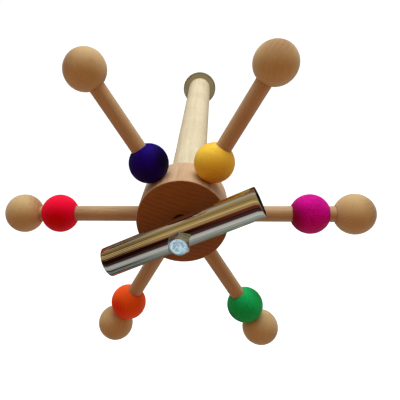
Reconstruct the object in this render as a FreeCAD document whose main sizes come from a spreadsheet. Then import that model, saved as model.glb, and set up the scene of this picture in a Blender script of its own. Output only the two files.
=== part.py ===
import FreeCAD, Part
import os
import Sketcher

# Wheel of sliding beads with a pivoting mirror tube, on the end of a round wooden pole.
# Millimetres, +Z up. The wheel's axis is Y, and the front of the wheel faces -Y.
# The origin is the centre of the mounting plane, where the end flange's back meets a wall.
# Stations along the axis are counted forward from that plane, so a station d is at y = -d.

DOC = FreeCAD.newDocument("bead_wheel")

# Driving sizes: alias, value in millimetres (or a plain count), and what it is.
SIZES = [
    ("ball_dia", 30, "end ball, diameter"),
    ("bead_dia", 29.5, "sliding bead, diameter"),
    ("dowel_dia", 11.8, "spoke dowel, diameter"),
    ("ball_reach", 125.7, "wheel axis to the centre of an end ball"),
    ("socket_depth", 18, "blind hole in an end ball, from the ball's outside to its flat bottom"),
    ("rim_ease", 0.5, "eased edge at the mouth of a ball's or bead's hole"),
    ("hub_dia", 68, "hub, diameter"),
    ("hub_front", 15.2, "spoke plane to the hub's front face"),
    ("hub_back", 21, "spoke plane to the hub's back face"),
    ("hub_ease", 0.9, "rounded rims of the hub"),
    ("spoke_root", 16, "wheel axis to the flat bottom of a spoke's hole"),
    ("bush_wall", 1.9, "bush, wall thickness"),
    ("bush_shoulder", 1.2, "shoulder in the hub's bore that a bush seats on, width"),
    ("bush_length", 11, "bush length inside the hub"),
    ("bush_recess", 4, "front bush below the hub's front face"),
    ("bush_flange_wide", 3, "flange of the back bush, width past its barrel"),
    ("bush_flange_thick", 1.5, "flange of the back bush, thickness"),
    ("sleeve_wall", 0.85, "axle sleeve, wall thickness"),
    ("spacer_wall", 1.4, "spacer ring, wall thickness"),
    ("washer_dia", 24, "back washer, diameter"),
    ("washer_thick", 2, "back washer, thickness"),
    ("bolt_dia", 8, "axle bolt, thread diameter"),
    ("bolt_flats", 14, "axle bolt head, across flats"),
    ("bolt_face", 12.2, "axle bolt head, diameter of its flat round face"),
    ("bolt_head", 6.4, "axle bolt head, height"),
    ("bolt_grip", 18, "length of the bolt inside the threaded insert"),
    ("insert_dia", 12, "threaded insert, diameter"),
    ("insert_length", 20, "threaded insert, length"),
    ("bolt_room", 6, "depth of the bolt's hole past the insert"),
    ("tube_dia", 22, "mirror tube, outer diameter"),
    ("tube_wall", 1, "mirror tube, wall thickness"),
    ("tube_length", 119, "mirror tube, length"),
    ("tube_slant", 24.6, "rest angle of the tube, right end up, in degrees"),
    ("tube_gap", 4.2, "hub's front face to the mirror tube"),
    ("pole_front_dia", 31, "pole behind the hub, diameter"),
    ("pole_end_dia", 36, "pole at its far end, diameter"),
    ("pole_length", 446, "pole, length"),
    ("pole_ease", 1.2, "chamfered front edge of the pole"),
    ("flange_dia", 54.8, "end flange, diameter"),
    ("flange_thick", 3, "end flange, thickness"),
    ("flange_lip", 1.2, "raised rim of the end flange, height and width"),
    ("stud_dia", 6, "hanger stud, diameter of its free end"),
    ("stud_root_dia", 7, "hanger stud, diameter of its end in the pole"),
    ("stud_out", 35, "hanger stud, length past the end flange"),
    ("stud_in", 45, "hanger stud, length in the pole"),
    ("stud_ease", 1, "chamfered end of the hanger stud"),
    ("screw_dia", 4, "flange screw, shank diameter"),
    ("screw_head_dia", 8, "flange screw, countersunk head diameter"),
    ("screw_head", 2.2, "flange screw, head height"),
    ("screw_length", 25, "flange screw, length"),
    ("screw_circle", 24, "flange screws, diameter of their circle"),
    ("run_clear", 0.06, "running clearance on the sleeve, on the radius"),
    ("bead_clear", 0.08, "bead on its dowel, clearance on the radius"),
    ("bolt_clear", 0.15, "axle bolt in the sleeve and the washer, clearance on the radius"),
    ("glue_gap", 0.05, "glued or screwed fit, gap on the radius"),
    ("end_gap", 0.3, "free play at each end of what turns or slides"),
    ("hole_clear", 0.2, "stud and screws in the flange, clearance on the radius"),
    ("red_gap", 2.0, "red bead's rest, in from its outer stop"),
    ("magenta_gap", 4.6, "magenta bead's rest, in from its outer stop"),
]


def fill_sheet():
    """Write the driving sizes to the spreadsheet, one row each."""
    sheet = DOC.addObject("Spreadsheet::Sheet", "Sizes")
    for row, (alias, value, meaning) in enumerate(SIZES, start=1):
        sheet.set("A%d" % row, meaning)
        sheet.set("B%d" % row, str(value))
        sheet.setAlias("B%d" % row, alias)
    DOC.recompute()


def size(alias):
    """Return the expression that reads one driving size."""
    return "Sizes." + alias


def total(*terms):
    """Return the expression that adds up several terms."""
    return "(" + " + ".join(terms) + ")"


def less(first, *others):
    """Return the expression that takes the other terms from the first."""
    return "(" + " - ".join((first,) + others) + ")"


def half(term):
    """Return the expression for half of a term."""
    return "(%s / 2)" % term


def around(diameter, gap):
    """Return the expression for a diameter with a wall or a clearance all round it."""
    return "(%s + 2 * %s)" % (diameter, gap)


# Stations along the axis, forward from the mounting plane.
POLE_REAR = size("flange_thick")
POLE_FRONT = total(POLE_REAR, size("pole_length"))
WASHER_FRONT = total(POLE_FRONT, size("washer_thick"))
BUSH_FLANGE_REAR = total(WASHER_FRONT, size("end_gap"))
HUB_REAR = total(BUSH_FLANGE_REAR, size("bush_flange_thick"))
SPOKE_PLANE = total(HUB_REAR, size("hub_back"))
HUB_WIDTH = total(size("hub_front"), size("hub_back"))
HUB_FRONT = total(HUB_REAR, HUB_WIDTH)
FRONT_BUSH_REAR = less(HUB_FRONT, size("bush_recess"), size("bush_length"))
SPACER_REAR = total(less(HUB_FRONT, size("bush_recess")), size("end_gap"))
TUBE_REAR = total(HUB_FRONT, size("tube_gap"))
TUBE_AXIS = total(TUBE_REAR, half(size("tube_dia")))
SPACER_FRONT = less(TUBE_REAR, size("end_gap"))
BOLT_HEAD_REAR = total(TUBE_REAR, size("tube_dia"), size("end_gap"))
BOLT_END = less(POLE_FRONT, size("bolt_grip"))

# Fits, as diameters.
SPOKE_HOLE = around(size("dowel_dia"), size("glue_gap"))
BEAD_HOLE = around(size("dowel_dia"), size("bead_clear"))
SLEEVE_BORE = around(size("bolt_dia"), size("bolt_clear"))
SLEEVE_DIA = around(SLEEVE_BORE, size("sleeve_wall"))
TURNING_BORE = around(SLEEVE_DIA, size("run_clear"))
BUSH_DIA = around(TURNING_BORE, size("bush_wall"))
BUSH_FLANGE_DIA = around(BUSH_DIA, size("bush_flange_wide"))
HUB_BUSH_BORE = around(BUSH_DIA, size("glue_gap"))
HUB_THROUGH_BORE = less(HUB_BUSH_BORE, "2 * " + size("bush_shoulder"))
SPACER_BORE = around(SLEEVE_DIA, size("glue_gap"))
SPACER_DIA = around(SPACER_BORE, size("spacer_wall"))
INSERT_HOLE = around(size("insert_dia"), size("glue_gap"))
INSERT_BORE = around(size("bolt_dia"), size("glue_gap"))
STUD_HOLE = around(size("stud_root_dia"), size("glue_gap"))
FLANGE_STUD_HOLE = around(size("stud_root_dia"), size("hole_clear"))
SCREW_HOLE = around(size("screw_dia"), size("glue_gap"))
FLANGE_SCREW_HOLE = around(size("screw_dia"), size("hole_clear"))

# Where a bead stops. Its widest ring that can touch is the eased mouth of its own hole.
MOUTH = total(half(BEAD_HOLE), size("rim_ease"))
BEAD_NOSE = "sqrt(pow(%s, 2) - pow(%s, 2))" % (half(size("bead_dia")), MOUTH)
BALL_NOSE = "sqrt(pow(%s, 2) - pow(%s, 2))" % (half(size("ball_dia")), MOUTH)
BEAD_INNER_STOP = total(half(size("hub_dia")), BEAD_NOSE, size("end_gap"))
BEAD_OUTER_STOP = less(size("ball_reach"), BALL_NOSE, BEAD_NOSE, size("end_gap"))

# An end ball's hole bottom, which is where its spoke ends.
SPOKE_END = total(less(size("ball_reach"), half(size("ball_dia"))), size("socket_depth"))

# Each spoke: its place, its angle from +X towards +Z, its bead's colour and the bead's rest.
SPOKES = [
    ("right", 0, "magenta", less(BEAD_OUTER_STOP, size("magenta_gap"))),
    ("upper_right", 60, "yellow", BEAD_INNER_STOP),
    ("upper_left", 120, "blue", BEAD_INNER_STOP),
    ("left", 180, "red", less(BEAD_OUTER_STOP, size("red_gap"))),
    ("lower_left", 240, "orange", BEAD_OUTER_STOP),
    ("lower_right", 300, "green", BEAD_OUTER_STOP),
]

SPOKE_COUNT = 6
SCREW_ANGLES = (90, 210, 330)
AXIS_TO_FRONT = FreeCAD.Rotation(FreeCAD.Vector(1, 0, 0), 90)
NODES = []


def keep(piece, name):
    """Name a finished piece and list it for export."""
    piece.Label = name
    NODES.append(piece)
    return piece


def new_body(name):
    """Start a body for one sub-part."""
    return DOC.addObject("PartDesign::Body", name)


def origin_feature(body, role):
    """Find a plane or an axis of a body's own origin by its role."""
    return next(item for item in body.Origin.OriginFeatures if item.Role == role)


def new_sketch(body, name, role="XY_Plane", lift=None):
    """Start a sketch on one of the body's own planes, lifted along its normal."""
    sketch = body.newObject("Sketcher::SketchObject", name)
    sketch.AttachmentSupport = [(origin_feature(body, role), "")]
    sketch.MapMode = "FlatFace"
    if lift:
        sketch.setExpression(".AttachmentOffset.Base.z", lift)
    return sketch


def add_circle(sketch, name, diameter, height=None):
    """Add a circle with a bound diameter, on the origin or a bound height above it."""
    start = FreeCAD.Vector(0, 1 if height else 0, 0)
    index = sketch.addGeometry(Part.Circle(start, FreeCAD.Vector(0, 0, 1), 5), False)
    place = sketch.addConstraint(Sketcher.Constraint("Diameter", index, 10))
    sketch.renameConstraint(place, name)
    sketch.setExpression("Constraints." + name, diameter)
    if height:
        sketch.addConstraint(Sketcher.Constraint("PointOnObject", index, 3, -2))
        place = sketch.addConstraint(Sketcher.Constraint("DistanceY", -1, 1, index, 3, 1))
        sketch.renameConstraint(place, name + "_height")
        sketch.setExpression("Constraints.%s_height" % name, height)
    else:
        sketch.addConstraint(Sketcher.Constraint("Coincident", index, 3, -1, 1))


def pad(body, name, length, outer, inner=None, lift=None):
    """Pad a disc, or a ring where an inner diameter is given, along the body's Z."""
    sketch = new_sketch(body, name + "_sketch", lift=lift)
    add_circle(sketch, "outer", outer)
    if inner:
        add_circle(sketch, "inner", inner)
    feature = body.newObject("PartDesign::Pad", name)
    feature.Profile = sketch
    feature.setExpression("Length", length)
    sketch.Visibility = False
    return feature


def pocket(body, name, depth, diameter, role="XY_Plane", lift=None, upward=False, height=None):
    """Cut a round hole from a sketch plane, against its normal or along it."""
    sketch = new_sketch(body, name + "_sketch", role, lift)
    add_circle(sketch, "bore", diameter, height)
    feature = body.newObject("PartDesign::Pocket", name)
    feature.Profile = sketch
    feature.Reversed = upward
    feature.setExpression("Length", depth)
    sketch.Visibility = False
    return feature


def round_edges(feature, diameter):
    """List a feature's circular edges of one diameter by name."""
    found = []
    for number, edge in enumerate(feature.Shape.Edges, start=1):
        if edge.Degenerated or not isinstance(edge.Curve, Part.Circle):
            continue
        if abs(2 * edge.Curve.Radius - diameter) < 1e-4:
            found.append("Edge%d" % number)
    return found


def ease(body, feature, name, circle, amount, kind="Chamfer", where=None):
    """Chamfer or fillet the edges that a named circle of the feature's sketch left.

    where, if given, picks edges by the height of their centre.
    """
    DOC.recompute()
    diameter = feature.Profile[0].getDatum(circle).Value
    edges = round_edges(feature, diameter)
    if where:
        edges = [edge for edge in edges if where(feature.Shape.getElement(edge).Curve.Center.z)]
    edging = body.newObject("PartDesign::" + kind, name)
    edging.Base = (feature, edges)
    edging.setExpression("Size" if kind == "Chamfer" else "Radius", amount)
    body.Tip = edging
    return edging


def on_axis(piece, station):
    """Turn a piece's Z to the front and set its rear face at a station."""
    piece.Placement = FreeCAD.Placement(FreeCAD.Vector(0, 0, 0), AXIS_TO_FRONT)
    piece.setExpression(".Placement.Base.y", "-1 * " + station)


def on_spoke(piece, angle, distance):
    """Turn a piece's Z outward along a spoke and set its start at a distance from the axis."""
    turn = FreeCAD.Rotation(FreeCAD.Vector(0, 1, 0), 90 - angle)
    piece.Placement = FreeCAD.Placement(FreeCAD.Vector(0, 0, 0), turn)
    piece.setExpression(".Placement.Base.x", "%s * cos(%d deg)" % (distance, angle))
    piece.setExpression(".Placement.Base.y", "-1 * " + SPOKE_PLANE)
    piece.setExpression(".Placement.Base.z", "%s * sin(%d deg)" % (distance, angle))


def make_ring(name, station, length, outer, inner):
    """Make a plain ring, sleeve or washer on the axis."""
    body = new_body(name)
    body.Tip = pad(body, name + "_ring", length, outer, inner)
    on_axis(body, station)
    return keep(body, name)


def make_pole():
    """Make the tapered pole with its insert hole in front and its stud hole behind."""
    body = new_body("pole")
    shank = body.newObject("PartDesign::AdditiveCone", "shank")
    shank.setExpression("Radius1", half(size("pole_end_dia")))
    shank.setExpression("Radius2", half(size("pole_front_dia")))
    shank.setExpression("Height", size("pole_length"))
    DOC.recompute()
    rim = body.newObject("PartDesign::Chamfer", "front_edge")
    rim.Base = (shank, round_edges(shank, 2 * shank.Radius2.Value))
    rim.setExpression("Size", size("pole_ease"))
    pocket(body, "insert_hole", size("insert_length"), INSERT_HOLE, lift=size("pole_length"))
    deep = total(size("insert_length"), size("bolt_room"))
    pocket(body, "bolt_hole", deep, INSERT_BORE, lift=size("pole_length"))
    pocket(body, "stud_hole", size("stud_in"), STUD_HOLE, upward=True)
    for number, angle in enumerate(SCREW_ANGLES, start=1):
        hole = pocket(body, "screw_hole_%d" % number, less(size("screw_length"), size("flange_thick")),
                      SCREW_HOLE, upward=True, height=half(size("screw_circle")))
        hole.Profile[0].AttachmentOffset = FreeCAD.Placement(
            FreeCAD.Vector(0, 0, 0), FreeCAD.Rotation(FreeCAD.Vector(0, 0, 1), angle - 90))
        body.Tip = hole
    on_axis(body, POLE_REAR)
    return keep(body, "pole")


def make_end_flange():
    """Make the far disc with its raised rim, its stud hole and its countersunk screw holes."""
    body = new_body("end_flange")
    pad(body, "plate", size("flange_thick"), size("flange_dia"))
    rim_height = total(size("flange_thick"), size("flange_lip"))
    rim_bore = less(size("flange_dia"), "2 * " + size("flange_lip"))
    pad(body, "rim", rim_height, size("flange_dia"), rim_bore)
    pocket(body, "stud_hole", size("flange_thick"), FLANGE_STUD_HOLE, upward=True)
    for number, angle in enumerate(SCREW_ANGLES, start=1):
        turn = FreeCAD.Rotation(FreeCAD.Vector(0, 0, 1), angle - 90)
        cone = body.newObject("PartDesign::SubtractiveCone", "countersink_%d" % number)
        cone.setExpression("Radius1", total(half(size("screw_head_dia")), size("hole_clear")))
        cone.setExpression("Radius2", total(half(size("screw_dia")), size("hole_clear")))
        cone.setExpression("Height", size("screw_head"))
        cone.AttachmentSupport = [(origin_feature(body, "XY_Plane"), "")]
        cone.MapMode = "FlatFace"
        radius = half(size("screw_circle"))
        cone.setExpression(".AttachmentOffset.Base.x", "%s * cos(%d deg)" % (radius, angle))
        cone.setExpression(".AttachmentOffset.Base.y", "%s * sin(%d deg)" % (radius, angle))
        hole = pocket(body, "screw_hole_%d" % number, size("flange_thick"), FLANGE_SCREW_HOLE,
                      upward=True, height=radius)
        hole.Profile[0].AttachmentOffset = FreeCAD.Placement(FreeCAD.Vector(0, 0, 0), turn)
        body.Tip = hole
    on_axis(body, "0")
    return keep(body, "end_flange")


def make_flange_screws():
    """Make the countersunk screws that hold the end flange to the pole, as one group."""
    screws = []
    for number, angle in enumerate(SCREW_ANGLES, start=1):
        head = DOC.addObject("Part::Cone", "screw_head_%d" % number)
        head.setExpression("Radius1", half(size("screw_head_dia")))
        head.setExpression("Radius2", half(size("screw_dia")))
        head.setExpression("Height", size("screw_head"))
        shank = DOC.addObject("Part::Cylinder", "screw_shank_%d" % number)
        shank.setExpression("Radius", half(size("screw_dia")))
        shank.setExpression("Height", size("screw_length"))
        screw = DOC.addObject("Part::MultiFuse", "screw_%d" % number)
        screw.Shapes = [head, shank]
        radius = half(size("screw_circle"))
        screw.setExpression(".Placement.Base.x", "%s * cos(%d deg)" % (radius, angle))
        screw.setExpression(".Placement.Base.y", "%s * sin(%d deg)" % (radius, angle))
        screws.append(screw)
    group = DOC.addObject("Part::Compound", "flange_screws")
    group.Links = screws
    on_axis(group, "0")
    return keep(group, "flange_screws")


def make_hanger_stud():
    """Make the stud that fills the pole's rear hole and stands out, thinner, behind the flange."""
    body = new_body("hanger_stud")
    free_end = pad(body, "free_end", size("stud_out"), size("stud_dia"))
    ease(body, free_end, "rear_end", "outer", size("stud_ease"), where=lambda height: height < 1)
    wood_length = total(size("flange_thick"), size("stud_in"))
    body.Tip = pad(body, "wood_end", wood_length, size("stud_root_dia"), lift=size("stud_out"))
    on_axis(body, "-1 * " + size("stud_out"))
    return keep(body, "hanger_stud")


def make_axle_bolt():
    """Make the hex-head bolt: a chamfered prism fused to a plain shank."""
    prism = DOC.addObject("Part::Prism", "bolt_hexagon")
    prism.Polygon = 6
    prism.setExpression("Circumradius", "%s / sqrt(3)" % size("bolt_flats"))
    prism.setExpression("Height", size("bolt_head"))
    prism.Placement.Rotation = FreeCAD.Rotation(FreeCAD.Vector(0, 0, 1), 90)
    crown = DOC.addObject("Part::Cone", "bolt_crown")
    crown.setExpression("Radius1", total(half(size("bolt_face")), size("bolt_head") + " * tan(60 deg)"))
    crown.setExpression("Radius2", half(size("bolt_face")))
    crown.setExpression("Height", size("bolt_head"))
    head = DOC.addObject("Part::MultiCommon", "bolt_head")
    head.Shapes = [prism, crown]
    shank_length = less(BOLT_HEAD_REAR, BOLT_END)
    shank = DOC.addObject("Part::Cylinder", "bolt_shank")
    shank.setExpression("Radius", half(size("bolt_dia")))
    shank.setExpression("Height", shank_length)
    shank.setExpression(".Placement.Base.z", "-1 * " + shank_length)
    bolt = DOC.addObject("Part::MultiFuse", "axle_bolt")
    bolt.Shapes = [head, shank]
    on_axis(bolt, BOLT_HEAD_REAR)
    return keep(bolt, "axle_bolt")


def make_hub():
    """Make the hub: a disc with rounded rims, a bore and a ring of radial spoke holes."""
    body = new_body("hub")
    disc = pad(body, "disc", HUB_WIDTH, size("hub_dia"))
    ease(body, disc, "rims", "outer", size("hub_ease"), "Fillet")
    pocket(body, "through_bore", HUB_WIDTH, HUB_THROUGH_BORE, upward=True)
    pocket(body, "back_bush_bore", size("bush_length"), HUB_BUSH_BORE, upward=True)
    pocket(body, "front_bush_bore", total(size("bush_recess"), size("bush_length")),
           HUB_BUSH_BORE, lift=HUB_WIDTH)
    hole = pocket(body, "spoke_hole", size("hub_dia"), SPOKE_HOLE, "YZ_Plane",
                  size("spoke_root"), upward=True, height=size("hub_back"))
    ring = body.newObject("PartDesign::PolarPattern", "spoke_holes")
    ring.Originals = [hole]
    ring.Axis = (origin_feature(body, "Z_Axis"), [""])
    ring.Angle = 360
    ring.Occurrences = SPOKE_COUNT
    body.Tip = ring
    on_axis(body, HUB_REAR)
    return keep(body, "hub")


def make_back_bush():
    """Make the flanged bush whose flange runs on the back washer."""
    body = new_body("back_bush")
    pad(body, "flange", size("bush_flange_thick"), BUSH_FLANGE_DIA, TURNING_BORE)
    length = total(size("bush_flange_thick"), size("bush_length"))
    body.Tip = pad(body, "barrel", length, BUSH_DIA, TURNING_BORE)
    on_axis(body, BUSH_FLANGE_REAR)
    return keep(body, "back_bush")


def make_spoke(place, angle):
    """Make one dowel, from the bottom of its hub hole to the bottom of its ball's hole."""
    body = new_body("spoke_" + place)
    body.Tip = pad(body, "dowel_" + place, less(SPOKE_END, size("spoke_root")), size("dowel_dia"))
    on_spoke(body, angle, size("spoke_root"))
    return keep(body, "spoke_" + place)


def make_sphere(name, diameter):
    """Start a body with a full sphere on its origin."""
    body = new_body(name)
    sphere = body.newObject("PartDesign::AdditiveSphere", name + "_sphere")
    sphere.setExpression("Radius", half(diameter))
    return body


def make_ball(place, angle):
    """Make one end ball, with the blind hole that its spoke is glued in."""
    name = "ball_" + place
    body = make_sphere(name, size("ball_dia"))
    bottom = less(size("socket_depth"), half(size("ball_dia")))
    hole = pocket(body, "socket_" + place, size("ball_dia"), SPOKE_HOLE, lift=bottom)
    ease(body, hole, "mouth_" + place, "bore", size("rim_ease"), where=lambda height: height < 0)
    on_spoke(body, angle, size("ball_reach"))
    return keep(body, name)


def make_bead(colour, angle, rest):
    """Make one bead with its eased through hole, at its rest on the spoke."""
    name = "bead_" + colour
    body = make_sphere(name, size("bead_dia"))
    hole = pocket(body, "hole_" + colour, "2 * " + size("bead_dia"), BEAD_HOLE, lift=size("bead_dia"))
    ease(body, hole, "mouths_" + colour, "bore", size("rim_ease"))
    on_spoke(body, angle, rest)
    return keep(body, name)


def make_mirror_tube():
    """Make the thin tube, slanted across the front, with cross holes that fit the sleeve."""
    body = new_body("mirror_tube")
    inner = less(size("tube_dia"), "2 * " + size("tube_wall"))
    pad(body, "wall", size("tube_length"), size("tube_dia"), inner,
        lift="-1 * " + half(size("tube_length")))
    body.Tip = pocket(body, "cross_hole", "2 * " + size("tube_dia"), TURNING_BORE, "XZ_Plane",
                      "-1 * " + size("tube_dia"), upward=True)
    body.Placement = FreeCAD.Placement(
        FreeCAD.Vector(0, 0, 0), FreeCAD.Rotation(FreeCAD.Vector(0, 1, 0), 65.4))
    body.setExpression(".Placement.Rotation.Angle", "90 deg - %s * 1 deg" % size("tube_slant"))
    body.setExpression(".Placement.Base.y", "-1 * " + TUBE_AXIS)
    return keep(body, "mirror_tube")


def make_stand():
    """Make everything that stays still: the pole, its fixings and the axle."""
    make_pole()
    make_ring("threaded_insert", less(POLE_FRONT, size("insert_length")), size("insert_length"),
              size("insert_dia"), INSERT_BORE)
    make_ring("back_washer", POLE_FRONT, size("washer_thick"), size("washer_dia"), SLEEVE_BORE)
    make_ring("axle_sleeve", WASHER_FRONT, less(BOLT_HEAD_REAR, WASHER_FRONT),
              SLEEVE_DIA, SLEEVE_BORE)
    make_ring("spacer_ring", SPACER_REAR, less(SPACER_FRONT, SPACER_REAR), SPACER_DIA, SPACER_BORE)
    make_axle_bolt()
    make_end_flange()
    make_hanger_stud()
    make_flange_screws()


def make_wheel():
    """Make the hub, its bushes, and a dowel, an end ball and a bead on each spoke."""
    make_hub()
    make_ring("front_bush", FRONT_BUSH_REAR, size("bush_length"), BUSH_DIA, TURNING_BORE)
    make_back_bush()
    for place, angle, colour, rest in SPOKES:
        make_spoke(place, angle)
        make_ball(place, angle)
        make_bead(colour, angle, rest)


def check_model():
    """Stop if any feature is in error or any sub-part lacks a valid solid."""
    for item in DOC.Objects:
        if "Invalid" in item.State or "Error" in item.State:
            raise RuntimeError("%s is in state %s" % (item.Name, item.State))
    for node in NODES:
        shape = node.Shape
        if shape.isNull() or not shape.isValid() or not shape.Solids:
            raise RuntimeError("%s has no valid solid" % node.Label)


def write_parts():
    """Write each sub-part to its own STEP file."""
    os.makedirs("parts", exist_ok=True)
    for node in NODES:
        node.Shape.exportStep("parts/%s.step" % node.Label)


fill_sheet()
make_stand()
make_wheel()
make_mirror_tube()
DOC.recompute()
check_model()
write_parts()
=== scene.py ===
"""Looks for the wheel of sliding beads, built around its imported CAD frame.

Turned pieces are lathed from rounded profiles. Geometry Nodes repeat the end balls, the dowels and the
flange screws round their circles, drill the hub and cut the thread of the hanger stud. All wood reads a "grain" attribute,
the piece's own place in its blank in millimetres with the fibres along Z, so grain follows each piece.
"""
import logging
import math
import random
from dataclasses import dataclass
from enum import Enum
from typing import Callable, Optional, Sequence, Union

import bmesh
import bpy
from mathutils import Euler, Matrix, Vector, noise


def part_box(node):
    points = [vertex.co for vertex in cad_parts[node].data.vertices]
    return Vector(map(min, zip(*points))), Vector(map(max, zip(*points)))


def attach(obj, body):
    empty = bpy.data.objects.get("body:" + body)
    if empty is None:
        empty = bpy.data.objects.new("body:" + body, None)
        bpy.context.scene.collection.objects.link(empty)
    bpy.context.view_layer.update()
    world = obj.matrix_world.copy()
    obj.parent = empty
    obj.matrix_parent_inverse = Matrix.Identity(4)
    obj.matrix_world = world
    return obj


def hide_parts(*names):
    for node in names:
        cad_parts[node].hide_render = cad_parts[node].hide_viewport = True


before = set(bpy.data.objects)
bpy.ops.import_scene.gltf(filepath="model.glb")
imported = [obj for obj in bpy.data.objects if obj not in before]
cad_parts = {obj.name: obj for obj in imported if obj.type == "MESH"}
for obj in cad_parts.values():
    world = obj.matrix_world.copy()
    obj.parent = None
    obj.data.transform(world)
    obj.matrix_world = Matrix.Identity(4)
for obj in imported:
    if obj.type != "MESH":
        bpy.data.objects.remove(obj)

LOG = logging.getLogger("bead_wheel")
MM = 0.001
TURN = 2.0 * math.pi
SEED = 11
GRAIN_REACH = (14.0, 14.0, 300.0)
PLACES = ("right", "upper_right", "upper_left", "left", "lower_left", "lower_right")
Triple = tuple[float, float, float]
RGB = Triple
Outline = list[tuple[float, float]]
Socket = bpy.types.NodeSocket
Source = Union[Socket, float, tuple]
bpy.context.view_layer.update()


def rgb(red: float, green: float, blue: float) -> RGB:
    """Turn a display colour, 0 to 255, into linear light."""
    def linear(part: float) -> float:
        """Turn one part of the colour into linear light."""
        part /= 255.0
        return part / 12.92 if part <= 0.04045 else ((part + 0.055) / 1.055) ** 2.4
    return linear(red), linear(green), linear(blue)


def darker(colour: RGB, share: float) -> RGB:
    """Return a colour with each part cut to a share."""
    return tuple(part * share for part in colour)


def centre_of(node: str) -> Vector:
    """Return the centre of a CAD node's box at rest, in metres."""
    low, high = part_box(node)
    return (low + high) / 2.0


def size_of(node: str) -> tuple[float, ...]:
    """Return the width, depth and height of a CAD node's box at rest, in millimetres."""
    low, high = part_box(node)
    return tuple((end - start) / MM for start, end in zip(low, high))


# ---------------------------------------------------------------------------------------------------------
# Shaders
# ---------------------------------------------------------------------------------------------------------


class NodeKit:
    """A node tree of any kind, with the calls that surfaces and shapes share."""

    def __init__(self, tree: bpy.types.NodeTree) -> None:
        """Take the tree to build in."""
        self.tree = tree

    def add(self, kind: str, settings: Optional[dict] = None, **sources: Source) -> bpy.types.Node:
        """Add a node.

        Args:
            kind: its type.
            settings: its properties.
            sources: values or sockets for its inputs, named with underscores.

        Returns:
            The node.
        """
        made = self.tree.nodes.new(kind)
        for key, setting in (settings or {}).items():
            setattr(made, key, setting)
        for key, source in sources.items():
            self.feed(made.inputs[key.replace("_", " ")], source)
        return made

    def feed(self, socket: Socket, source: Source) -> None:
        """Link a socket to another, or set it to a plain value."""
        if isinstance(source, Socket):
            self.tree.links.new(source, socket)
        else:
            socket.default_value = source

    def math(self, operation: str, first: Source, second: Source = 0.0, third: Source = 0.0,
             clamp: bool = False) -> Socket:
        """Add a scalar operation and return its result."""
        made = self.add("ShaderNodeMath", {"operation": operation, "use_clamp": clamp})
        for socket, source in zip(made.inputs, (first, second, third)):
            self.feed(socket, source)
        return made.outputs[0]

    def vector(self, operation: str, first: Source, second: Source = (0.0, 0.0, 0.0)) -> Socket:
        """Add a vector operation and return its first used result."""
        made = self.add("ShaderNodeVectorMath", {"operation": operation})
        self.feed(made.inputs[0], first)
        self.feed(made.inputs[1], second)
        return made.outputs["Value"] if operation in ("LENGTH", "DOT_PRODUCT") else made.outputs[0]


class Graph(NodeKit):
    """A shader node tree, with short calls for the nodes that the finishes and the surroundings share."""

    def __init__(self, tree: bpy.types.NodeTree) -> None:
        """Start with an empty tree."""
        super().__init__(tree)
        self.tree.nodes.clear()

    def attribute(self, name: str) -> bpy.types.Node:
        """Read a mesh attribute."""
        return self.add("ShaderNodeAttribute", {"attribute_name": name})

    def place(self) -> Socket:
        """Return Object coordinates in millimetres."""
        place = self.add("ShaderNodeTexCoord").outputs["Object"]
        return self.vector("MULTIPLY", place, (1000.0, 1000.0, 1000.0))

    def from_axis(self, place: Socket) -> Socket:
        """Return the distance of a place from the wheel's axis."""
        return self.vector("LENGTH", self.vector("MULTIPLY", place, (1.0, 0.0, 1.0)))

    def noise(self, place: Socket, scale: float, detail: float = 3.0, roughness: float = 0.55) -> Socket:
        """Add soft noise and return its factor."""
        made = self.add("ShaderNodeTexNoise", Vector=place, Scale=scale, Detail=detail, Roughness=roughness)
        return made.outputs["Fac"]

    def stretched(self, place: Socket, scales: Triple, detail: float = 3.0,
                  roughness: float = 0.55) -> Socket:
        """Add noise with its own scale along each axis and return its factor."""
        return self.noise(self.vector("MULTIPLY", place, scales), 1.0, detail, roughness)

    def span(self, source: Socket, low: float, high: float, to_low: float = 0.0,
             to_high: float = 1.0) -> Socket:
        """Map a range smoothly to another and clamp it."""
        limits = {"From_Min": low, "From_Max": high, "To_Min": to_low, "To_Max": to_high}
        made = self.add("ShaderNodeMapRange", {"interpolation_type": "SMOOTHSTEP"}, Value=source, **limits)
        return made.outputs["Result"]

    def blend(self, factor: Source, first: Source, second: Source) -> Socket:
        """Mix two colours."""
        made = self.add("ShaderNodeMix", {"data_type": "RGBA", "clamp_factor": True})
        colours = [socket for socket in made.inputs if socket.type == "RGBA"]
        self.feed(made.inputs[0], factor)
        for socket, source in zip(colours, (first, second)):
            self.feed(socket, (*source, 1.0) if isinstance(source, tuple) else source)
        return next(socket for socket in made.outputs if socket.type == "RGBA")

    def bump(self, height: Socket, strength: float, distance: float) -> Socket:
        """Add fine relief and return its normal."""
        made = self.add("ShaderNodeBump", Height=height, Strength=strength, Distance=distance)
        return made.outputs["Normal"]

    def ramp(self, factor: Socket, stops: Sequence[tuple[float, RGB]]) -> Socket:
        """Map a factor to colours by sorted stops."""
        made = self.add("ShaderNodeValToRGB")
        elements = made.color_ramp.elements
        while len(elements) < len(stops):
            elements.new(0.5)
        for element, (where, colour) in zip(elements, stops):
            element.position = where
            element.color = (*colour, 1.0)
        self.feed(made.inputs[0], factor)
        return made.outputs[0]


class Shader(Graph):
    """A material under construction."""

    def __init__(self, name: str) -> None:
        """Start an empty node material with one surface shader."""
        self.material = bpy.data.materials.new(name)
        self.material.use_nodes = True
        super().__init__(self.material.node_tree)
        self.surface = self.add("ShaderNodeBsdfPrincipled")
        self.add("ShaderNodeOutputMaterial", Surface=self.surface.outputs[0])

    def set(self, **sources: Source) -> None:
        """Set or link sockets of the surface shader, named with underscores."""
        for key, source in sources.items():
            if isinstance(source, tuple) and len(source) == 3:
                source = (*source, 1.0)
            self.feed(self.surface.inputs[key.replace("_", " ")], source)


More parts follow.
